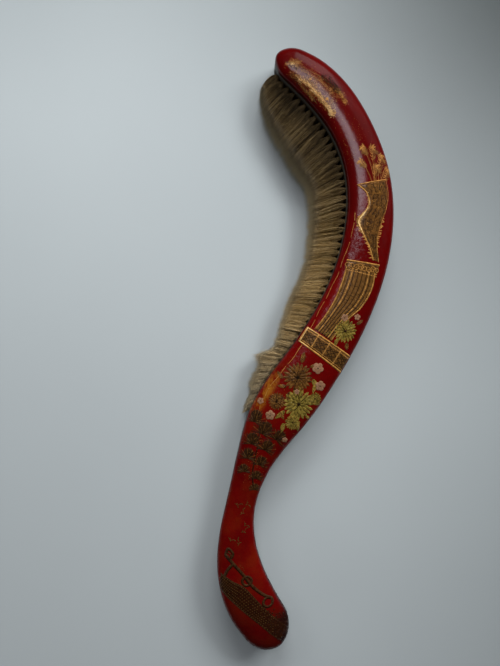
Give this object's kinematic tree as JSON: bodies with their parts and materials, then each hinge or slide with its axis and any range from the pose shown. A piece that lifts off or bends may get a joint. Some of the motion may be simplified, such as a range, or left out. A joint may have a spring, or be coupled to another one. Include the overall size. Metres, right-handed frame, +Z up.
{
  "type": "crumb brush",
  "caption": "Long S-shaped crumb brush with a domed red lacquered back, a black lower board and rows of drawn hair tufts along the concave side of its head.",
  "frame": {"origin": "on the surface the brush lies on, under the middle of the outline's box", "axes": "+Z up through the decorated back, +Y along the brush from the handle to the tip of the head, -X towards the side the hair points to"},
  "size_m": [0.0968, 0.3316, 0.0196],
  "materials": {
    "red_lacquer": "glossy red lacquer with gold decoration",
    "black_lacquer": "satin black lacquer",
    "stock_wood": "blackened wood",
    "brass_wire": "dull drawn wire",
    "brad_steel": "dull",
    "hair": "brown natural hair"
  },
  "bodies": {
    "root": {"red_back": "red_lacquer", "black_underbody": "black_lacquer", "bristle_stock": "stock_wood", "draw_wire_top": "brass_wire", "draw_wire_middle": "brass_wire", "draw_wire_bottom": "brass_wire", "stock_brad_1": "brad_steel", "stock_brad_2": "brad_steel", "stock_brad_3": "brad_steel", "stock_brad_4": "brad_steel", "bristle_tufts_01": "hair", "bristle_tufts_02": "hair", "bristle_tufts_03": "hair", "bristle_tufts_04": "hair", "bristle_tufts_05": "hair", "bristle_tufts_06": "hair", "bristle_tufts_07": "hair", "bristle_tufts_08": "hair", "bristle_tufts_09": "hair", "bristle_tufts_10": "hair", "bristle_tufts_11": "hair", "bristle_tufts_12": "hair"}
  },
  "joints": []
}
